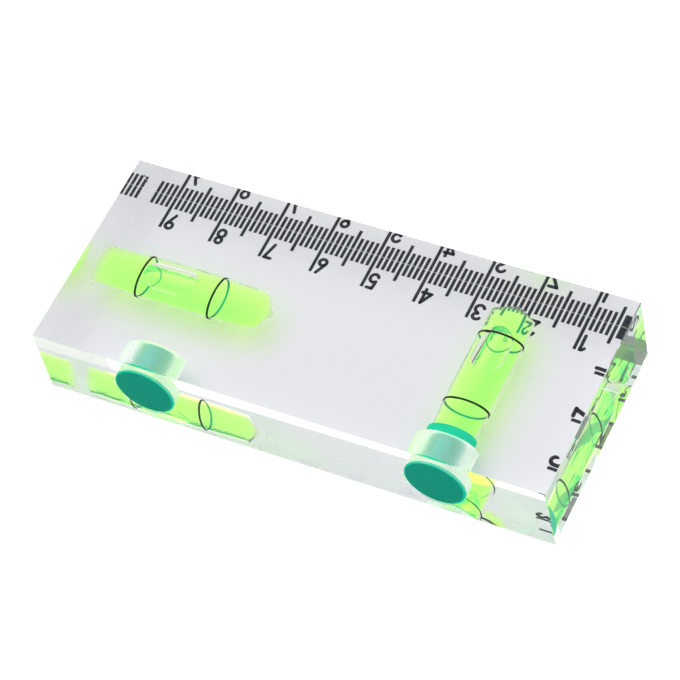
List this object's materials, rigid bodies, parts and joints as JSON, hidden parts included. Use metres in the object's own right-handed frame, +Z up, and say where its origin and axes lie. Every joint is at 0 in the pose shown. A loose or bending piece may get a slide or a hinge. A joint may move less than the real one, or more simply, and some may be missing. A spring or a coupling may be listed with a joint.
{
  "type": "pocket spirit level",
  "caption": "Clear acrylic pocket level with spirit vials drilled at right angles, magnets behind teal caps in the front edge, and a centimetre ruler printed on the underside.",
  "frame": {"origin": "middle of the underside, the face the level rests on", "axes": "+X along the block's length to the end where the printed ruler starts, +Y from the magnet edge to the ruler edge, +Z up through the block's height"},
  "size_m": [0.0958, 0.0402, 0.015],
  "materials": {
    "acrylic": "polished",
    "liquid": "polished",
    "air": "polished",
    "teal_plug": "gloss",
    "teal_cap": "satin",
    "magnet": "satin",
    "ink": "matte"
  },
  "bodies": {
    "level": {"block": "acrylic", "long_vial_fluid": "liquid", "long_vial_plug": "acrylic", "long_line_left": "ink", "long_line_right": "ink", "cross_vial_fluid": "liquid", "cross_vial_plug": "teal_plug", "cross_line_front": "ink", "cross_line_back": "ink", "magnet_left": "magnet", "magnet_right": "magnet", "magnet_cap_left": "teal_cap", "magnet_cap_right": "teal_cap", "ruler_marks": "ink", "end_ruler_marks": "ink"},
    "long_bubble": {"long_vial_bubble": "air"},
    "cross_bubble": {"cross_vial_bubble": "air"}
  },
  "joints": [
    {"name": "long_bubble_travel", "type": "hinge", "parent": "level", "child": "long_bubble", "pos_m": [-0.0299, 0, -0.25825], "axis": [0, 1, 0], "range_deg": [-1.82, 2.44], "stiffness_Nm_per_rad": 0.005, "deforming": ["long_vial_fluid"]},
    {"name": "cross_bubble_travel", "type": "hinge", "parent": "level", "child": "cross_bubble", "pos_m": [0.0272, 0.0007, -0.25825], "axis": [-1, 0, 0], "range_deg": [-2.38, 0.64], "stiffness_Nm_per_rad": 0.005, "deforming": ["cross_vial_fluid"]}
  ]
}
